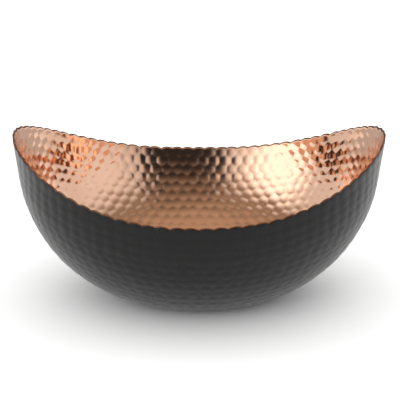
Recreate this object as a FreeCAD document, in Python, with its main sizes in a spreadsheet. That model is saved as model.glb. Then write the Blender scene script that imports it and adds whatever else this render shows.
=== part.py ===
import FreeCAD, Part
import Sketcher
import math
import os

# Boat-shaped hammered bowl: a dark outer sheet and a copper liner nested in it,
# a thin bead that closes both sheets along the rim, and four low pads under the base.
# +X runs along the length, +Y across, +Z up. The origin is on the table, under the middle.

doc = FreeCAD.newDocument("hammered_bowl")

# Driving dimensions in millimetres. Heights are above the flat base unless a note says otherwise.
dimensions = {
    "half_length": 137.0,    # of the wall at its shoulder, without the flare
    "half_width": 103.7,
    "bowl_depth": 119.5,     # vertical half axis of the rounded wall below the shoulder
    "shoulder_height": 103.9,  # above it the wall runs straight to the rim
    "fullness": 2.1,         # exponent of the wall curve: 2 is an ellipse, more is fuller
    "end_flare": 0.08,       # how much the wall opens out, as a share of half_length per 100 mm of height
    "side_flare": 0.13,      # the same across, where it opens out more
    "shell_gauge": 0.7,      # outer sheet
    "liner_gauge": 0.5,      # copper sheet
    "side_height": 94.5,     # top of the rim at the middle of the long sides
    "dip_radius": 503.0,     # rim curve, shallow middle stretch
    "dip_half_span": 30.0,   # half of that stretch
    "horn_radius": 227.0,    # rim curve, rising to the ends
    "bead_height": 0.6,      # rim bead, above the edge of the sheets
    "bead_overhang": 0.1,    # how far it stands out on both sides
    "stock_height": 165.0,   # the sheets before the rim is cut
    "stock_reach": 160.0,    # half length that the rim cut covers
    "cut_width": 300.0,      # across the whole bowl
    "pad_thickness": 1.5,    # lifts the base off the table
    "pad_diameter": 10.0,
    "pad_bevel": 0.4,
    "pad_spread": 42.0,      # pad centre from the middle, along the length
    "pad_stance": 28.0,      # pad centre from the middle, across
}

# Heights of the wall's sections: from the base (0) to the shoulder (1), and from there to the top (1).
bowl_steps = [0.0, 0.03, 0.09, 0.18, 0.3, 0.45, 0.62, 0.8, 1.0]
lip_steps = [0.3, 0.65, 1.0]

sheet = doc.addObject("Spreadsheet::Sheet", "sheet")
for row, (name, value) in enumerate(dimensions.items(), start=1):
    sheet.set("A%d" % row, name)
    sheet.set("B%d" % row, str(value))
    sheet.setAlias("B%d" % row, name)
doc.recompute()


def origin_plane(body, role):
    for feature in body.Origin.OriginFeatures:
        if feature.Role == role:
            return feature
    raise ValueError("no origin plane " + role)


def new_body(name):
    body = doc.addObject("PartDesign::Body", name)
    body.Label = name
    return body


def new_sketch(body, name, role):
    sketch = body.newObject("Sketcher::SketchObject", name)
    sketch.AttachmentSupport = (origin_plane(body, role), [""])
    sketch.MapMode = "FlatFace"
    return sketch


def bind(sketch, name, expression, *constraint):
    """Adds a named dimension to a sketch and ties it to an expression on the sheet."""
    index = sketch.addConstraint(Sketcher.Constraint(*constraint))
    sketch.renameConstraint(index, name)
    sketch.setExpression("Constraints." + name, expression)


# How far each face of the nested sheets, and of the bead, lies inside the outer sheet's outer face.
outer_face = "0"
joint_face = "sheet.shell_gauge"
inner_face = "(sheet.shell_gauge + sheet.liner_gauge)"
bead_outer_face = "(-1 * sheet.bead_overhang)"
bead_inner_face = "(sheet.shell_gauge + sheet.liner_gauge + sheet.bead_overhang)"


def ellipse_section(body, name, height, across_x, across_y):
    """A horizontal ellipse about the Z axis, at a height and with two diameters from the sheet."""
    sketch = new_sketch(body, name, "XY_Plane")
    centre = FreeCAD.Vector(0, 0, 0)
    sketch.addGeometry(Part.Ellipse(FreeCAD.Vector(150, 0, 0), FreeCAD.Vector(0, 120, 0), centre), False)
    sketch.exposeInternalGeometry(0)
    sketch.addConstraint(Sketcher.Constraint("Coincident", 0, 3, -1, 1))
    sketch.addConstraint(Sketcher.Constraint("Horizontal", 1))
    bind(sketch, "across_x", across_x, "Distance", 1, 300.0)
    bind(sketch, "across_y", across_y, "Distance", 2, 240.0)
    sketch.setExpression("AttachmentOffset.Base.z", height)
    return sketch


def wall_sections(body, label, inset):
    """Sections of one face of the sheets, from the flat base to the uncut top.

    Below the shoulder the wall is a superellipse standing on its side, opened out by the flare:
    a section's half length is half_length * ((1 - (drop / bowl_depth) ^ fullness) ^ (1 / fullness)
    + end_flare * height / 100), where drop is how far it lies below the shoulder, and its half width
    is the same with half_width and side_flare. Above the shoulder only the flare goes on. A face
    deeper in the sheets has every half axis shorter by its inset.
    """
    levels = []
    for step in bowl_steps:
        drop = "%g * (sheet.shoulder_height - %s)" % (1 - step, inset)
        share = "(1 - (%s / (sheet.bowl_depth - %s)) ^ sheet.fullness) ^ (1 / sheet.fullness)" % (drop, inset)
        levels.append(("(sheet.shoulder_height - %s)" % drop, share))
    for step in lip_steps:
        rise = "%g * (sheet.stock_height - sheet.shoulder_height)" % step
        levels.append(("(sheet.shoulder_height + %s)" % rise, "1"))
    sections = []
    for index, (height, share) in enumerate(levels):
        across_x = "2 * (sheet.half_length - %s) * (%s + sheet.end_flare * %s / 100)" % (inset, share, height)
        across_y = "2 * (sheet.half_width - %s) * (%s + sheet.side_flare * %s / 100)" % (inset, share, height)
        lifted = "sheet.pad_thickness + " + height
        sections.append(ellipse_section(body, "%s_%d" % (label, index), lifted, across_x, across_y))
    return sections


def loft(body, kind, name, sections):
    feature = body.newObject("PartDesign::" + kind, name)
    feature.Profile = sections[0]
    feature.Sections = sections[1:]
    return feature


def rim_profile(body, name, curve_height, closing_height):
    """The rim curve seen from the side, closed by a straight line above or below the bowl.

    A shallow arc crosses the middle and a tighter arc, tangent to it, rises to each end.
    """
    sketch = new_sketch(body, name, "XZ_Plane")
    dip = dimensions["dip_radius"]
    span = dimensions["dip_half_span"]
    horn = dimensions["horn_radius"]
    reach = dimensions["stock_reach"]
    low = dimensions["side_height"]
    down = 1.5 * math.pi
    lean = math.asin(span / dip)
    dip_centre = FreeCAD.Vector(0, low + dip, 0)
    horn_x = span - horn * math.sin(lean)
    horn_z = low + dip - dip * math.cos(lean) + horn * math.cos(lean)
    rise = math.asin((reach - horn_x) / horn)
    end_z = horn_z - horn * math.cos(rise)
    closing = low + 60 if "stock" in closing_height else low - 120
    up = FreeCAD.Vector(0, 0, 1)
    middle = Part.Circle(dip_centre, up, dip)
    right = Part.Circle(FreeCAD.Vector(horn_x, horn_z, 0), up, horn)
    left = Part.Circle(FreeCAD.Vector(-horn_x, horn_z, 0), up, horn)
    right_end = FreeCAD.Vector(reach, end_z, 0)
    right_corner = FreeCAD.Vector(reach, closing, 0)
    left_corner = FreeCAD.Vector(-reach, closing, 0)
    left_end = FreeCAD.Vector(-reach, end_z, 0)
    sketch.addGeometry([
        Part.ArcOfCircle(middle, down - lean, down + lean),
        Part.ArcOfCircle(right, down + lean, down + rise),
        Part.ArcOfCircle(left, down - rise, down - lean),
        Part.LineSegment(right_end, right_corner),
        Part.LineSegment(right_corner, left_corner),
        Part.LineSegment(left_corner, left_end),
    ], False)
    for rule in (
        ("Tangent", 0, 2, 1, 1),
        ("Tangent", 2, 2, 0, 1),
        ("Symmetric", 0, 1, 0, 2, -2),
        ("Equal", 1, 2),
        ("Coincident", 1, 2, 3, 1),
        ("Coincident", 3, 2, 4, 1),
        ("Coincident", 4, 2, 5, 1),
        ("Coincident", 5, 2, 2, 1),
        ("Vertical", 3),
        ("Horizontal", 4),
        ("Vertical", 5),
    ):
        sketch.addConstraint(Sketcher.Constraint(*rule))
    bind(sketch, "dip_radius", "sheet.dip_radius", "Radius", 0, dip)
    bind(sketch, "horn_radius", "sheet.horn_radius", "Radius", 1, horn)
    bind(sketch, "half_span", "sheet.dip_half_span", "DistanceX", -1, 1, 0, 2, span)
    bind(sketch, "centre", curve_height + " + sheet.dip_radius", "DistanceY", -1, 1, 0, 3, low + dip)
    bind(sketch, "reach", "sheet.stock_reach", "DistanceX", -1, 1, 1, 2, reach)
    bind(sketch, "left_reach", "sheet.stock_reach", "DistanceX", 2, 1, -1, 1, reach)
    bind(sketch, "closing", closing_height, "DistanceY", -1, 1, 3, 2, closing)
    return sketch


def cut_across(body, name, sketch):
    """Cuts a side profile right through the bowl, both ways from its middle."""
    pocket = body.newObject("PartDesign::Pocket", name)
    pocket.Profile = sketch
    pocket.Type = "Length"
    pocket.SideType = "Symmetric"
    pocket.setExpression("Length", "sheet.cut_width")
    return pocket


rim_top = "sheet.pad_thickness + sheet.side_height"
sheet_edge = rim_top + " - sheet.bead_height"
above_bowl = "sheet.pad_thickness + sheet.stock_height + 10"
below_base = "sheet.pad_thickness - 10"


def nested_sheet(name, outside, inside):
    """One of the two sheets: the space between two faces, cut to the rim curve."""
    body = new_body(name)
    loft(body, "AdditiveLoft", name + "_blank", wall_sections(body, name + "_outside", outside))
    doc.recompute()
    loft(body, "SubtractiveLoft", name + "_hollow", wall_sections(body, name + "_inside", inside))
    doc.recompute()
    cut_across(body, name + "_rim_cut", rim_profile(body, name + "_rim", sheet_edge, above_bowl))
    return body


def rim_bead():
    """The strip that sits on the edges of both sheets and closes them."""
    body = new_body("rim_bead")
    loft(body, "AdditiveLoft", "bead_blank", wall_sections(body, "bead_outside", bead_outer_face))
    doc.recompute()
    loft(body, "SubtractiveLoft", "bead_hollow", wall_sections(body, "bead_inside", bead_inner_face))
    doc.recompute()
    cut_across(body, "bead_top_cut", rim_profile(body, "bead_top", rim_top, above_bowl))
    doc.recompute()
    cut_across(body, "bead_seat_cut", rim_profile(body, "bead_seat", sheet_edge, below_base))
    return body


def base_pad(name, side_x, side_y):
    """A low round pad with a bevelled foot, under the flat base."""
    body = new_body(name)
    sketch = new_sketch(body, name + "_outline", "XY_Plane")
    circle = Part.Circle(FreeCAD.Vector(0, 0, 0), FreeCAD.Vector(0, 0, 1), 5)
    sketch.addGeometry(circle, False)
    sketch.addConstraint(Sketcher.Constraint("Coincident", 0, 3, -1, 1))
    bind(sketch, "across", "sheet.pad_diameter", "Diameter", 0, 10.0)
    disc = body.newObject("PartDesign::Pad", name + "_disc")
    disc.Profile = sketch
    disc.setExpression("Length", "sheet.pad_thickness")
    doc.recompute()
    bevel = body.newObject("PartDesign::Chamfer", name + "_bevel")
    bevel.Base = (disc, [foot_edge(disc)])
    bevel.setExpression("Size", "sheet.pad_bevel")
    body.setExpression("Placement.Base.x", "%d * sheet.pad_spread" % side_x)
    body.setExpression("Placement.Base.y", "%d * sheet.pad_stance" % side_y)
    return body


def foot_edge(disc):
    """The name of the round edge that lies on the table."""
    for number, edge in enumerate(disc.Shape.Edges, start=1):
        if edge.Closed and edge.BoundBox.ZMax < 0.01:
            return "Edge%d" % number
    raise ValueError("no foot edge on " + disc.Name)


parts = [
    nested_sheet("outer_shell", outer_face, joint_face),
    nested_sheet("copper_liner", joint_face, inner_face),
    rim_bead(),
]
pad_places = [(1, 1), (-1, 1), (-1, -1), (1, -1)]
for number, (side_x, side_y) in enumerate(pad_places, start=1):
    parts.append(base_pad("base_pad_%d" % number, side_x, side_y))
doc.recompute()

for item in doc.Objects:
    if "Invalid" in item.State or "Error" in item.State:
        raise RuntimeError("%s is %s" % (item.Name, item.State))
for part in parts:
    shape = part.Shape
    if shape.isNull() or not shape.isValid() or len(shape.Solids) != 1:
        raise RuntimeError("%s has no single valid solid" % part.Label)

os.makedirs("parts", exist_ok=True)
for part in parts:
    box = part.Shape.BoundBox
    print("%-14s volume %10.1f  x %7.1f %7.1f  y %7.1f %7.1f  z %6.1f %6.1f" % (
        part.Label, part.Shape.Volume, box.XMin, box.XMax, box.YMin, box.YMax, box.ZMin, box.ZMax))
    part.Shape.exportStep("parts/%s.step" % part.Label)
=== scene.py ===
import math
import bpy
import numpy as np
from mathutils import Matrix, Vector


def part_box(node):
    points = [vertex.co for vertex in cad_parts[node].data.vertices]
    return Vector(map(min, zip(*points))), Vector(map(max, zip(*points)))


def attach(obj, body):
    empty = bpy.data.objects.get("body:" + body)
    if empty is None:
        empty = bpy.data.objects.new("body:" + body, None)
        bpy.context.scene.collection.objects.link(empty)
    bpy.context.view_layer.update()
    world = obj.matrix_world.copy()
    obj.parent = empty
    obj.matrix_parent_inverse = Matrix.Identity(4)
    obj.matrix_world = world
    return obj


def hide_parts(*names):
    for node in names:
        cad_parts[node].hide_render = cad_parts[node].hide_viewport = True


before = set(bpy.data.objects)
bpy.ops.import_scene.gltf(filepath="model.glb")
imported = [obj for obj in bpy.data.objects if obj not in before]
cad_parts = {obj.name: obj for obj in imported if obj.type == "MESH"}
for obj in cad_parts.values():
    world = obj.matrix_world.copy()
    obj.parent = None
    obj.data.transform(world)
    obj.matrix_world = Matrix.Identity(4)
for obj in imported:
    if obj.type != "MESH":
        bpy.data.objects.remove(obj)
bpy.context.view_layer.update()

mm = 0.001
rng = np.random.default_rng(23)

# The bowl: a rounded oval wall on a flat base, opening out straight above its shoulder, cut to a rim
# that dips at the long sides.
shellLow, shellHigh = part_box("outer_shell")
beadLow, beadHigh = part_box("rim_bead")
bowl = {
    "halfLength": 137 * mm,      # at the shoulder, without the flare
    "halfWidth": 103.7 * mm,
    "wallDepth": 119.5 * mm,     # vertical half axis of the wall's curve
    "shoulderHeight": 103.9 * mm,  # above the base
    "fullness": 2.1,             # exponent of that curve, 2 is an ellipse
    "endFlare": 0.8,             # opening out with height, as a share of halfLength per metre
    "sideFlare": 1.3,            # the same across, as a share of halfWidth
    "baseHeight": shellLow.z,
    "baseBend": 5 * mm,          # how softly the flat base turns into the wall
    "stock": 52 * mm,            # straight wall above the shoulder, before the rim is cut
    "lipLean": 0.085,            # extra slope of the copper at the rim, gone at lipDepth below it, so
                                 # that further down the copper stands in by half of their product
    "lipDepth": 66 * mm,
    "backFollows": 0.85,         # share of that by which the copper's hidden face stands in too
    "shellGauge": 0.7 * mm,
    "linerGauge": 0.5 * mm,
    "clearance": 0.02 * mm,      # of each hidden face from the joint between the sheets
}
rim = {
    "beadHeight": 0.6 * mm,
    "beadWidth": 1.4 * mm,
    "beadSides": 14,
    "beadRoundness": 0.8,        # exponent of the section, 1 is an ellipse, less is squarer
    "edgeHeight": beadLow.z,     # edge of the sheets at the middle of the long sides
    "dipRadius": 503 * mm,
    "dipHalfSpan": 30 * mm,
    "hornRadius": 227 * mm,
    "scallopDepth": 1.25 * mm,
}
marks = {
    "rowSpacing": 8.3 * mm,      # between rows of blows, down the wall
    "spacing": 10.5 * mm,        # between blows in a row
    "firstRow": 4.2 * mm,        # below the rim
    "ballRadius": 44 * mm,       # of the dish that a blow leaves
    "reach": 4.95 * mm,          # of a dish, where it meets the flat left between blows
    "radiusSpread": 0.12,
    "wander": 0.09,              # of each blow, as a share of the spacing
    "depthSpread": 0.03 * mm,    # from blow to blow
    "rowSpread": 0.05 * mm,      # from row to row
    "coatSoftening": 0.95,       # how much of the relief shows through the coat outside
    "nearest": 6.2 * mm,         # blows nearer than this are left out
    "fillTries": 5000,           # random places tried for blows that fill gaps
    "fillNearest": 1.22,         # their least distance, as a share of nearest
    "baseRows": 3,               # rows that follow the base up the wall
    "softness": 0.007 * mm,      # rounding of the ridge between two blows
    "sink": 0.17 * mm,           # mean depth, so that the marks stay about the smooth wall
    "waveLength": 46 * mm,       # slow unevenness left by raising the sheet
    "waveHeight": 0.1 * mm,
}
grid = {"columns": 720, "rings": 166, "rimColumns": 1440}


# Half length, half width and height of the wall's sections, from the middle of the base up past the rim.
# Below the shoulder share = sin(a)^(2/fullness) and height = shoulder - depth cos(a)^(2/fullness), kept
# above the base by a soft maximum: half of (x + sqrt(x x + bend bend)). Each half axis is its full size
# times (share + flare times height), and above the shoulder only the flare goes on.
def wallSections(inset):
    angle = np.linspace(0, math.pi / 2, 1400)
    power = 2 / bowl["fullness"]
    share = np.sin(angle) ** power
    drop = (bowl["wallDepth"] - inset) * np.cos(angle) ** power
    above = bowl["shoulderHeight"] - drop - inset
    above = 0.5 * (above + np.sqrt(above ** 2 + bowl["baseBend"] ** 2))
    straight = np.linspace(0, bowl["stock"], 105)[1:]
    share = np.concatenate([share, np.ones_like(straight)])
    above = np.concatenate([above, above[-1] + straight])
    rise = above - above[0]
    halfLength = (bowl["halfLength"] - inset) * (share + bowl["endFlare"] * rise)
    halfWidth = (bowl["halfWidth"] - inset) * (share + bowl["sideFlare"] * rise)
    return halfLength, halfWidth, above + inset + bowl["baseHeight"]


# Points up the wall at each turn, (half length cos, half width sin, height), and the length along the
# wall from the middle of the base to each.
def wallColumns(inset, turn):
    halfLength, halfWidth, height = wallSections(inset)
    x = halfLength[:, None] * np.cos(turn)
    y = halfWidth[:, None] * np.sin(turn)
    z = np.repeat(height[:, None], turn.size, axis=1)
    steps = np.sqrt(np.diff(x, axis=0) ** 2 + np.diff(y, axis=0) ** 2 + np.diff(z, axis=0) ** 2)
    return x, y, z, np.vstack([np.zeros_like(turn), np.cumsum(steps, axis=0)])


# Height of the sheets' edge: a shallow arc over the middle, and a tighter one tangent to it at each
# end.
def rimHeight(x):
    x = np.abs(x)
    dip, span, horn = rim["dipRadius"], rim["dipHalfSpan"], rim["hornRadius"]
    sine = span / dip
    cosine = math.sqrt(1 - sine ** 2)
    middle = dip - np.sqrt(dip ** 2 - np.minimum(x, span) ** 2)
    centreX = span - horn * sine
    centreZ = dip - dip * cosine + horn * cosine
    end = centreZ - np.sqrt(horn ** 2 - (np.maximum(x, span) - centreX) ** 2)
    return rim["edgeHeight"] + np.where(x < span, middle, end)


# Length up the wall to the uncut edge, found where the wall's height meets the rim curve.
def edgeLengths(inset, turn):
    x, y, z, lengths = wallColumns(inset, turn)
    gap = rimHeight(x) - z
    last = (gap > 0).sum(axis=0) - 1
    pick = np.arange(turn.size)
    part = gap[last, pick] / (gap[last, pick] - gap[last + 1, pick])
    return lengths[last, pick] * (1 - part) + lengths[last + 1, pick] * part


# Points on a face at each turn and length.
def facePoints(inset, turn, lengths):
    x, y, z, table = wallColumns(inset, turn)
    columns = [
        [np.interp(lengths[:, i], table[:, i], axis[:, i]) for axis in (x, y, z)]
        for i in range(turn.size)
    ]
    return np.moveaxis(np.array(columns), (0, 1, 2), (1, 2, 0))


# Unit normals of a closed grid of rings by central differences, pointing into the bowl.
def inwardNormals(points):
    along = np.roll(points, -1, axis=1) - np.roll(points, 1, axis=1)
    up = np.gradient(points, axis=0)
    normal = np.cross(up, along)
    size = np.linalg.norm(normal, axis=-1, keepdims=True)
    normal = normal / np.maximum(size, 1e-12)
    normal[size[..., 0] < 1e-12] = (0, 0, 1)
    centre = np.array([0, 0, bowl["shoulderHeight"] + bowl["baseHeight"]])
    facing = np.sign(np.sum(normal * (centre - points), axis=-1, keepdims=True))
    return normal * np.where(facing == 0, 1, facing)


# Turns about the Z axis that divide the rim into equal lengths.
def evenTurns(count):
    fine = np.linspace(0, 2 * math.pi, 7201)
    points = facePoints(0, fine, edgeLengths(0, fine)[None, :])[0]
    length = np.concatenate([[0], np.cumsum(np.linalg.norm(np.diff(points, axis=0), axis=1))])
    return np.interp(np.arange(count) * length[-1] / count, length, fine)


# Blows at an even spacing along one row, with a little wander. Every other row is shifted by half a
# spacing, counted from the middle of a long side, so that blows fall between those of the row above.
def rowOfMarks(turn, lengths, allowed, shifted):
    points = facePoints(0, turn, lengths[None, :])[0]
    closed = np.vstack([points, points[:1]])
    travel = np.concatenate([[0], np.cumsum(np.linalg.norm(np.diff(closed, axis=0), axis=1))])
    count = max(3, int(round(travel[-1] / marks["spacing"])))
    step = travel[-1] / count
    middle = np.interp(math.pi / 2, turn, travel[:-1])
    place = middle + (np.arange(count) + 0.5 * shifted + rng.normal(0, marks["wander"] * 0.6, count)) * step
    place = np.mod(place, travel[-1])
    turns = np.interp(place, travel, np.append(turn, 2 * math.pi))
    shift = rng.normal(0, marks["wander"] * 0.4, count) * marks["spacing"]
    length = np.interp(turns, turn, lengths, period=2 * math.pi) + shift
    keep = np.interp(turns, turn, allowed.astype(float), period=2 * math.pi) > 0.5
    return turns[keep], length[keep]


# Rows parallel to the rim from the top down, then rows parallel to the base, then blows that fill
# gaps.
def hammerMarks():
    turn = np.arange(1440) * 2 * math.pi / 1440
    edge = edgeLengths(0, turn)
    edgePoints = facePoints(0, turn, edge[None, :])[0]
    along = np.roll(edgePoints, -1, axis=0) - np.roll(edgePoints, 1, axis=0)
    slope = np.abs(along[:, 2]) / np.linalg.norm(along, axis=1)
    lean = np.sqrt(1 - slope ** 2)
    x, y, z, table = wallColumns(0, turn)
    cornerHeight = bowl["baseHeight"] + bowl["baseBend"] / 2
    corner = np.array([np.interp(cornerHeight, z[:, i], table[:, i]) for i in range(turn.size)])
    limit = corner + (marks["baseRows"] + 0.5) * marks["rowSpacing"]
    rows = []
    depth = marks["firstRow"]
    while True:
        lengths = edge - depth / lean
        allowed = lengths > limit
        if not allowed.any():
            break
        rows.append(rowOfMarks(turn, np.maximum(lengths, 1 * mm), allowed, len(rows) % 2))
        depth += marks["rowSpacing"]
    first = rows[0]
    for number in range(marks["baseRows"], -12, -1):
        lengths = corner + number * marks["rowSpacing"]
        allowed = lengths > 2 * mm
        if not allowed.any():
            break
        rows.append(rowOfMarks(turn, np.maximum(lengths, 2 * mm), allowed, number % 2))
    turns = np.concatenate([r[0] for r in rows])
    lengths = np.concatenate([r[1] for r in rows])
    rowDepth = np.concatenate([np.full(len(r[0]), rng.uniform(-1, 1) * marks["rowSpread"]) for r in rows])
    fillTurns = rng.uniform(0, 2 * math.pi, marks["fillTries"])
    room = np.interp(fillTurns, turn, edge, period=2 * math.pi) - 6 * mm
    fillLengths = rng.uniform(0, 1, marks["fillTries"]) ** 0.7 * room
    turns = np.concatenate([turns, fillTurns])
    lengths = np.concatenate([lengths, fillLengths])
    rowDepth = np.concatenate([rowDepth, np.zeros(fillTurns.size)])
    centres = facePoints(0, turns, lengths[None, :])[0]
    planned = turns.size - fillTurns.size
    kept = []
    spots = np.empty((0, 3))
    for i in range(turns.size):
        reach = marks["nearest"] if i < planned else marks["fillNearest"] * marks["nearest"]
        if len(kept) and np.min(np.sum((spots - centres[i]) ** 2, axis=1)) < reach ** 2:
            continue
        kept.append(i)
        spots = np.vstack([spots, centres[i]])
    return spots, rowDepth[kept], first[0]


# How far the blows push the sheet outward at each point: the soft maximum over all blows of
# depth - distance squared / (2 radius), but no less than the flat between blows, less the mean sink,
# plus three slow waves.
def markDepth(points, centres, radii, depths):
    spots = points.reshape(-1, 3)
    push = np.empty(len(spots))
    soft = marks["softness"]
    flat = -marks["reach"] ** 2 / (2 * marks["ballRadius"])
    for start in range(0, len(spots), 6000):
        part = spots[start:start + 6000]
        square = (part ** 2).sum(1)[:, None] + (centres ** 2).sum(1)[None, :] - 2 * part @ centres.T
        value = depths[None, :] - square / (2 * radii[None, :])
        best = np.maximum(value.max(axis=1), flat)
        near = np.exp(np.maximum((value - best[:, None]) / soft, -30)).sum(axis=1)
        push[start:start + 6000] = best + soft * np.log(near + np.exp((flat - best) / soft))
    count = 2 * math.pi / marks["waveLength"]
    for number, direction in enumerate(((0.8, 0.3, 0.5), (-0.5, 0.8, 0.3), (0.2, -0.4, 0.9))):
        push += marks["waveHeight"] / 2 * np.sin(count * spots @ np.array(direction) + 2.1 * number)
    return push.reshape(points.shape[:-1]) + marks["sink"]


# The edge stands up above each blow of the first row: a parabola about each, joined at cusps, as a
# length along the wall.
def scallops(turn, firstTurns):
    points = facePoints(0, turn, edgeLengths(0, turn)[None, :])[0]
    peaks = facePoints(0, firstTurns, edgeLengths(0, firstTurns)[None, :])[0]
    square = ((points[:, None, :] - peaks[None, :, :]) ** 2).sum(-1).min(axis=1)
    half = marks["spacing"] / 2
    rise = rim["scallopDepth"] * (0.45 - np.minimum(square / half ** 2, 1.6))
    return rise


# Faces between rings of points, each as long as the last, twice or half as long, and a fan over
# each end.
def stitch(rings):
    faces = []
    first = 0
    for a, b in zip(rings[:-1], rings[1:]):
        n, m = len(a), len(b)
        second = first + n
        i = np.arange(min(n, m))
        if n == m:
            follow = (i + 1) % n
            faces.append(np.stack([first + i, first + follow, second + follow, second + i], axis=1).tolist())
        elif n == 2 * m:
            p, q, r = first + 2 * i, first + 2 * i + 1, first + (2 * i + 2) % n
            s, t = second + i, second + (i + 1) % m
            faces.append(np.stack([p, q, s], axis=1).tolist())
            faces.append(np.stack([q, t, s], axis=1).tolist())
            faces.append(np.stack([q, r, t], axis=1).tolist())
        elif m == 2 * n:
            p, q, r = second + 2 * i, second + 2 * i + 1, second + (2 * i + 2) % m
            s, t = first + i, first + (i + 1) % n
            faces.append(np.stack([p, s, q], axis=1).tolist())
            faces.append(np.stack([q, s, t], axis=1).tolist())
            faces.append(np.stack([q, t, r], axis=1).tolist())
        else:
            raise ValueError("rings of %d and %d points don't meet" % (n, m))
        first = second
    return [face for block in faces for face in block]


def makeMesh(name, points, faces):
    mesh = bpy.data.meshes.new(name)
    mesh.from_pydata(points.tolist(), [], faces)
    mesh.validate()
    mesh.shade_smooth()
    piece = bpy.data.objects.new(name, mesh)
    bpy.context.collection.objects.link(piece)
    return piece


def thinned(ring, columns):
    return ring[::grid["columns"] // columns]


# Fewer columns towards the middle of the base, where a ring is shorter.
def columnsAt(part):
    for limit, divide in ((0.62, 1), (0.82, 2), (0.91, 4), (0.965, 8)):
        if part < limit:
            return grid["columns"] // divide
    return grid["columns"] // 16


# A closed sheet: its worked face with every hammer mark, and the plain face that its neighbour
# hides.
def sheetPiece(name, workedFace, hiddenFace, workedIsInside):
    parts = np.linspace(0, 1, grid["rings"] + 1)[:-1]
    worked = [thinned(workedFace[j], columnsAt(parts[j])) for j in range(grid["rings"])]
    hiddenRows = [0, 1, 2, 4, 8] + list(range(16, grid["rings"], 10))
    hidden = []
    columns = grid["columns"]
    for step, j in enumerate(hiddenRows):
        wanted = max(columns >> min(step, 3), 45)
        wanted = min(wanted, columnsAt(parts[j]))
        if hidden and wanted < len(hidden[-1]) // 2:
            wanted = len(hidden[-1]) // 2
        hidden.append(thinned(hiddenFace[j], wanted))
    rings = worked[::-1] + hidden
    faces = stitch(rings)
    points = np.vstack(rings)
    start, end = len(points), len(points) + 1
    low = np.array([[0, 0, worked[-1][:, 2].mean()], [0, 0, hidden[-1][:, 2].mean()]])
    points = np.vstack([points, low])
    n, m = len(rings[0]), len(rings[-1])
    last = start - m
    faces += [[(i + 1) % n, i, start] for i in range(n)]
    faces += [[last + i, last + (i + 1) % m, end] for i in range(m)]
    if workedIsInside:
        faces = [face[::-1] for face in faces]
    return makeMesh(name, points, faces)


print("hammer marks")
centres, rowDepth, firstTurns = hammerMarks()
radii = marks["ballRadius"] * (1 + rng.uniform(-1, 1, len(centres)) * marks["radiusSpread"])
depths = rowDepth + rng.normal(0, marks["depthSpread"], len(centres))
print("  %d blows, %d in the first row" % (len(centres), len(firstTurns)))

turn = evenTurns(grid["columns"])
parts = np.linspace(0, 1, grid["rings"] + 1)[:-1]
lift = scallops(turn, firstTurns)


def faceRings(inset):
    edge = edgeLengths(inset, turn) + lift
    return facePoints(inset, turn, edge[None, :] * (1 - parts)[:, None])


# How far the copper stands in from the smooth wall: it leaves the rim at a slope of lipLean, which fades
# evenly to nothing at lipDepth, so the distance is lean (d - d d / (2 lipDepth)), and constant below.
def lipOffset(inset):
    edge = edgeLengths(inset, turn)
    below = np.minimum(edge[None, :] * parts[:, None], bowl["lipDepth"])
    return bowl["lipLean"] * (below - below ** 2 / (2 * bowl["lipDepth"]))


print("liner and shell")
outerFace = faceRings(0)
push = markDepth(outerFace, centres, radii, depths)
outerNormals = inwardNormals(outerFace)
jointFace = faceRings(bowl["shellGauge"])
innerFace = faceRings(bowl["shellGauge"] + bowl["linerGauge"])
innerNormals = inwardNormals(innerFace)
standIn = lipOffset(bowl["shellGauge"] + bowl["linerGauge"])
linerBack = bowl["clearance"] + bowl["backFollows"] * standIn
liner = sheetPiece("copper_liner_hammered", innerFace + innerNormals * (standIn - push)[..., None],
                   jointFace + innerNormals * linerBack[..., None], True)
coatedFace = outerFace - outerNormals * push[..., None] * marks["coatSoftening"]
shell = sheetPiece("outer_shell_hammered", coatedFace, jointFace - outerNormals * bowl["clearance"], False)


# A rounded strip carried along the scalloped edge. Across it: n = half width cos(a)^roundness, u = half
# height sin(a)^roundness with their signs, n along the wall's normal and u up the wall.
def rimBead():
    turns = evenTurns(grid["rimColumns"])
    middle = (bowl["shellGauge"] + bowl["linerGauge"]) / 2
    edge = edgeLengths(middle, turns) + scallops(turns, firstTurns)
    rows = facePoints(middle, turns, np.stack([edge, edge - 1.5 * mm]))
    reference = facePoints(0, turns, (edgeLengths(0, turns) + scallops(turns, firstTurns))[None, :])
    push = markDepth(reference, centres, radii, depths)[0]
    normal = inwardNormals(rows)[0]
    up = rows[0] - rows[1]
    up /= np.linalg.norm(up, axis=1, keepdims=True)
    sides, power = rim["beadSides"], rim["beadRoundness"]
    angle = np.arange(sides) * 2 * math.pi / sides + math.pi / sides
    across = np.sign(np.cos(angle)) * np.abs(np.cos(angle)) ** power * rim["beadWidth"] / 2
    along = np.sign(np.sin(angle)) * np.abs(np.sin(angle)) ** power * (rim["beadHeight"] / 2 + 0.05 * mm)
    core = rows[0] - normal * push[:, None] * 0.9 + up * rim["beadHeight"] / 2
    points = core[:, None, :] + normal[:, None, :] * across[None, :, None]
    points = points + up[:, None, :] * along[None, :, None]
    n, k = points.shape[:2]
    i, j = np.meshgrid(np.arange(n), np.arange(k), indexing="ij")
    a = i * k + j
    b = ((i + 1) % n) * k + j
    c = ((i + 1) % n) * k + (j + 1) % k
    d = i * k + (j + 1) % k
    faces = np.stack([d, c, b, a], axis=-1).reshape(-1, 4).tolist()
    return makeMesh("rim_bead_scalloped", points.reshape(-1, 3), faces)


print("rim bead")
bead = rimBead()


def linear(hexColour):
    channels = [int(hexColour[i:i + 2], 16) / 255 for i in (1, 3, 5)]
    return [c / 12.92 if c <= 0.04045 else ((c + 0.055) / 1.055) ** 2.4 for c in channels] + [1.0]


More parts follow.
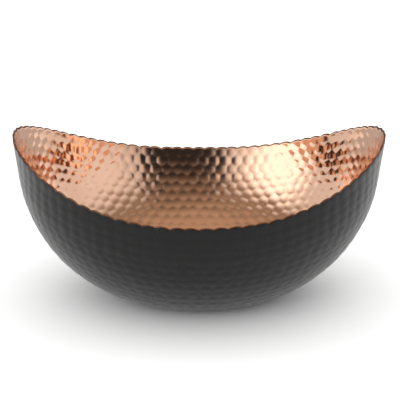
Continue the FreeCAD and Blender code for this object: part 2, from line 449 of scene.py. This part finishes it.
# A node with its properties set, and each input set to a value or linked to another node's output.
def addNode(tree, kind, settings=None, inputs=None):
    node = tree.nodes.new(kind)
    for name, value in (settings or {}).items():
        setattr(node, name, value)
    for name, value in (inputs or {}).items():
        if isinstance(value, bpy.types.NodeSocket):
            tree.links.new(value, node.inputs[name])
        else:
            node.inputs[name].default_value = value
    return node


def newMaterial(name):
    material = bpy.data.materials.new(name)
    material.use_nodes = True
    material.node_tree.nodes.clear()
    return material, material.node_tree


copperLook = {
    "bright": "#F7CCB3",
    "deep": "#F1BF9F",
    "roughness": 0.08,
    "roughnessSpread": 0.05,
    "clouding": 45 * mm,         # size of the faint patches in the polish
    "grain": 0.9 * mm,           # polishing grain, coarser than the real 0.2 mm so that it shows
    "grainHeight": 0.006 * mm,
}


# Polished, lacquered copper sheet: a clear warm mirror, with a faint grain from the polishing
# wheel.
def polishedCopper():
    material, tree = newMaterial("polished_copper")
    place = addNode(tree, "ShaderNodeTexCoord").outputs["Object"]
    cloud = addNode(tree, "ShaderNodeTexNoise", {}, {
        "Vector": place, "Scale": 1 / copperLook["clouding"], "Detail": 3.0, "Roughness": 0.55})
    colour = addNode(tree, "ShaderNodeMix", {"data_type": "RGBA"}, {
        0: cloud.outputs["Fac"], 6: linear(copperLook["bright"]), 7: linear(copperLook["deep"])})
    grain = addNode(tree, "ShaderNodeTexNoise", {}, {
        "Vector": place, "Scale": 1 / copperLook["grain"], "Detail": 2.0})
    rough = addNode(tree, "ShaderNodeMapRange", {}, {
        "Value": cloud.outputs["Fac"], "From Min": 0.3, "From Max": 0.7,
        "To Min": copperLook["roughness"], "To Max": copperLook["roughness"] + copperLook["roughnessSpread"]})
    bump = addNode(tree, "ShaderNodeBump", {}, {
        "Height": grain.outputs["Fac"], "Distance": copperLook["grainHeight"], "Strength": 1.0})
    skin = addNode(tree, "ShaderNodeBsdfPrincipled", {}, {
        "Base Color": colour.outputs[2], "Metallic": 1.0, "Roughness": rough.outputs[0],
        "Normal": bump.outputs["Normal"]})
    addNode(tree, "ShaderNodeOutputMaterial", {}, {"Surface": skin.outputs["BSDF"]})
    return material


coatLook = {
    "dark": "#100F0F",
    "light": "#1A1918",
    "roughness": 0.26,
    "roughnessSpread": 0.08,
    "sheen": 1.0,
    "sheenRoughness": 0.38,
    "specular": 0.45,
    "patches": 22 * mm,
    "texture": 1.1 * mm,         # powder grain, coarser than the real 0.4 mm so that it shows
    "textureHeight": 0.03 * mm,
}


# Matte charcoal powder coat baked on steel: nearly black, with a fine pebbled skin and a soft
# sheen.
def charcoalCoat():
    material, tree = newMaterial("charcoal_powder_coat")
    place = addNode(tree, "ShaderNodeTexCoord").outputs["Object"]
    patch = addNode(tree, "ShaderNodeTexNoise", {}, {
        "Vector": place, "Scale": 1 / coatLook["patches"], "Detail": 4.0, "Roughness": 0.6})
    colour = addNode(tree, "ShaderNodeMix", {"data_type": "RGBA"}, {
        0: patch.outputs["Fac"], 6: linear(coatLook["dark"]), 7: linear(coatLook["light"])})
    pebble = addNode(tree, "ShaderNodeTexNoise", {}, {
        "Vector": place, "Scale": 1 / coatLook["texture"], "Detail": 2.0, "Roughness": 0.5})
    rough = addNode(tree, "ShaderNodeMapRange", {}, {
        "Value": patch.outputs["Fac"], "From Min": 0.3, "From Max": 0.7,
        "To Min": coatLook["roughness"], "To Max": coatLook["roughness"] + coatLook["roughnessSpread"]})
    bump = addNode(tree, "ShaderNodeBump", {}, {
        "Height": pebble.outputs["Fac"], "Distance": coatLook["textureHeight"], "Strength": 1.0})
    skin = addNode(tree, "ShaderNodeBsdfPrincipled", {}, {
        "Base Color": colour.outputs[2], "Metallic": 0.0, "Roughness": rough.outputs[0], "IOR": 1.5,
        "Specular IOR Level": coatLook["specular"], "Sheen Weight": coatLook["sheen"],
        "Sheen Roughness": coatLook["sheenRoughness"], "Normal": bump.outputs["Normal"]})
    addNode(tree, "ShaderNodeOutputMaterial", {}, {"Surface": skin.outputs["BSDF"]})
    return material


beadLook = {"dark": "#96664D", "worn": "#D0A187", "roughness": 0.34, "wear": 14 * mm}


# Toned copper edge: browner and duller than the polished liner, rubbed brighter where hands hold it.
def tonedEdge():
    material, tree = newMaterial("toned_copper_edge")
    place = addNode(tree, "ShaderNodeTexCoord").outputs["Object"]
    wear = addNode(tree, "ShaderNodeTexNoise", {}, {
        "Vector": place, "Scale": 1 / beadLook["wear"], "Detail": 5.0, "Roughness": 0.65})
    amount = addNode(tree, "ShaderNodeMapRange", {}, {
        "Value": wear.outputs["Fac"], "From Min": 0.45, "From Max": 0.75, "To Min": 0.0, "To Max": 1.0})
    colour = addNode(tree, "ShaderNodeMix", {"data_type": "RGBA"}, {
        0: amount.outputs[0], 6: linear(beadLook["dark"]), 7: linear(beadLook["worn"])})
    skin = addNode(tree, "ShaderNodeBsdfPrincipled", {}, {
        "Base Color": colour.outputs[2], "Metallic": 1.0, "Roughness": beadLook["roughness"]})
    addNode(tree, "ShaderNodeOutputMaterial", {}, {"Surface": skin.outputs["BSDF"]})
    return material


padLook = {"dark": "#141414", "dust": "#262524", "grain": 0.8 * mm, "roughness": 0.78}


# Moulded black rubber: dull, with a fine matte grain.
def padRubber():
    material, tree = newMaterial("black_rubber")
    place = addNode(tree, "ShaderNodeTexCoord").outputs["Object"]
    grain = addNode(tree, "ShaderNodeTexNoise", {}, {
        "Vector": place, "Scale": 1 / padLook["grain"], "Detail": 3.0})
    colour = addNode(tree, "ShaderNodeMix", {"data_type": "RGBA"}, {
        0: grain.outputs["Fac"], 6: linear(padLook["dark"]), 7: linear(padLook["dust"])})
    bump = addNode(tree, "ShaderNodeBump", {}, {
        "Height": grain.outputs["Fac"], "Distance": 0.02 * mm, "Strength": 0.6})
    skin = addNode(tree, "ShaderNodeBsdfPrincipled", {}, {
        "Base Color": colour.outputs[2], "Roughness": padLook["roughness"], "Normal": bump.outputs["Normal"]})
    addNode(tree, "ShaderNodeOutputMaterial", {}, {"Surface": skin.outputs["BSDF"]})
    return material


print("materials")
for piece, look, node, slot in (
    (liner, polishedCopper(), "copper_liner", "copper"),
    (shell, charcoalCoat(), "outer_shell", "dark_coat"),
    (bead, tonedEdge(), "rim_bead", "rim_copper"),
):
    piece.data.materials.append(look)
    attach(piece, "root")
    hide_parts(node)
rubber = padRubber()
for name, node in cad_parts.items():
    if name.startswith("base_pad"):
        for socket in node.material_slots:
            socket.material = rubber


studio = {
    "elevation": 18,             # of the camera, degrees
    "distance": 0.7936,
    "aimHeight": 80.7 * mm,
    "aimShift": 0.9 * mm,        # along X
    "lens": 84.7,
    "walls": (                   # brightness round the room: degrees from the camera's side towards +X, glow
        (-180, 0.12), (-165, 0.2), (-148, 0.8), (-125, 1.05), (-105, 0.8), (-84, 0.75), (-71, 1.05),
        (-62, 1.7), (-42, 1.75), (-34, 1.3), (-25, 0.92), (-18, 0.66), (-13, 0.26), (-8, 0.05), (0, 0.03),
        (27, 0.03), (31, 0.12), (36, 0.62), (50, 0.86), (65, 0.9), (84, 0.82), (105, 0.8), (125, 1.05),
        (148, 0.8), (165, 0.2), (180, 0.12),
    ),
    "wallTop": (24, 46),         # degrees above the table over which the lit walls end
    "ceilingRise": (20, 64),     # degrees over which the ceiling comes up to its full glow
    "ceilingGlow": 0.5,
    "ceilingTint": "#FFE6CC",
    "evenGlow": (0.05, 0.86),    # light on matte surfaces, from table level to overhead
    "floorGain": 2.4,            # for the camera only
    "floorRadius": 6,
    "floorWhite": 0.86,
}


# Brightness by direction, which the copper mirrors: the walls by compass angle, fading out at their top,
# plus a ceiling that comes up slowly. Matte surfaces get even light, and past the floor it is plain white.
def studioWorld():
    world = bpy.data.worlds.new("studio")
    bpy.context.scene.world = world
    world.use_nodes = True
    tree = world.node_tree
    tree.nodes.clear()
    aim = addNode(tree, "ShaderNodeTexCoord").outputs["Generated"]
    parts = addNode(tree, "ShaderNodeSeparateXYZ", {}, {0: aim}).outputs
    front = addNode(tree, "ShaderNodeMath", {"operation": "MULTIPLY"}, {0: parts["Y"], 1: -1.0}).outputs[0]
    turn = addNode(tree, "ShaderNodeMath", {"operation": "ARCTAN2"}, {0: parts["X"], 1: front}).outputs[0]
    place = addNode(tree, "ShaderNodeMapRange", {}, {
        "Value": turn, "From Min": -math.pi, "From Max": math.pi}).outputs[0]
    walls = addNode(tree, "ShaderNodeValToRGB", {}, {0: place})
    ramp = walls.color_ramp
    stops = studio["walls"]
    while len(ramp.elements) < len(stops):
        ramp.elements.new(0.5)
    for element, (angle, glow) in zip(ramp.elements, stops):
        element.position = (angle + 180) / 360
        element.color = (glow / 2, glow / 2, glow / 2, 1)
    rise = addNode(tree, "ShaderNodeMath", {"operation": "ARCSINE"}, {0: parts["Z"]}).outputs[0]
    low, high = (math.radians(angle) for angle in studio["wallTop"])
    fade = addNode(tree, "ShaderNodeMapRange", {"interpolation_type": "SMOOTHSTEP"}, {
        "Value": rise, "From Min": low, "From Max": high, "To Min": 2.0, "To Max": 0.0}).outputs[0]
    lit = addNode(tree, "ShaderNodeVectorMath", {"operation": "SCALE"}, {
        0: walls.outputs[0], "Scale": fade}).outputs[0]
    low, high = (math.radians(angle) for angle in studio["ceilingRise"])
    above = addNode(tree, "ShaderNodeMapRange", {"interpolation_type": "SMOOTHSTEP"}, {
        "Value": rise, "From Min": low, "From Max": high,
        "To Min": 0.0, "To Max": studio["ceilingGlow"]}).outputs[0]
    ceiling = addNode(tree, "ShaderNodeVectorMath", {"operation": "SCALE"}, {
        0: linear(studio["ceilingTint"])[:3], "Scale": above}).outputs[0]
    room = addNode(tree, "ShaderNodeVectorMath", {"operation": "ADD"}, {0: lit, 1: ceiling}).outputs[0]
    path = addNode(tree, "ShaderNodeLightPath").outputs
    low, high = studio["evenGlow"]
    even = addNode(tree, "ShaderNodeMapRange", {}, {
        "Value": rise, "From Min": 0.0, "From Max": 1.2, "To Min": low, "To Max": high}).outputs[0]
    soft = addNode(tree, "ShaderNodeMix", {"data_type": "RGBA"}, {
        0: path["Is Diffuse Ray"], 6: room, 7: even})
    seen = addNode(tree, "ShaderNodeMix", {"data_type": "RGBA"}, {
        0: path["Is Camera Ray"], 6: soft.outputs[2], 7: (1.05, 1.05, 1.05, 1)})
    glow = addNode(tree, "ShaderNodeBackground", {}, {"Color": seen.outputs[2], "Strength": 1.0})
    addNode(tree, "ShaderNodeOutputWorld", {}, {"Surface": glow.outputs["Background"]})


# A pale matte disc on the table's level.
def studioFloor():
    turns = np.arange(96) * 2 * math.pi / 96
    reach = studio["floorRadius"]
    points = np.stack([reach * np.cos(turns), reach * np.sin(turns), np.zeros(96)], axis=1)
    mesh = bpy.data.meshes.new("floor")
    mesh.from_pydata(points.tolist(), [], [list(range(96))])
    floor = bpy.data.objects.new("floor", mesh)
    bpy.context.collection.objects.link(floor)
    material, tree = newMaterial("white_paper")
    path = addNode(tree, "ShaderNodeLightPath")
    gain = addNode(tree, "ShaderNodeMapRange", {}, {
        "Value": path.outputs["Is Camera Ray"], "To Min": 1.0, "To Max": studio["floorGain"]})
    white = addNode(tree, "ShaderNodeVectorMath", {"operation": "SCALE"}, {
        0: (studio["floorWhite"],) * 3, "Scale": gain.outputs[0]})
    matte = addNode(tree, "ShaderNodeBsdfDiffuse", {}, {"Color": white.outputs[0]})
    addNode(tree, "ShaderNodeOutputMaterial", {}, {"Surface": matte.outputs["BSDF"]})
    mesh.materials.append(material)


def studioCamera():
    camera = bpy.data.objects.new("camera", bpy.data.cameras.new("camera"))
    bpy.context.collection.objects.link(camera)
    raised = math.radians(studio["elevation"])
    aim = Vector((studio["aimShift"], 0, studio["aimHeight"]))
    camera.location = aim + Vector((0, -math.cos(raised), math.sin(raised))) * studio["distance"]
    camera.rotation_euler = (aim - camera.location).to_track_quat("-Z", "Y").to_euler()
    camera.data.lens = studio["lens"]
    camera.data.sensor_width = 36
    camera.data.clip_end = 50
    bpy.context.scene.camera = camera


print("studio")
studioWorld()
studioFloor()
studioCamera()
bpy.context.scene.view_settings.view_transform = "Standard"

print("done")
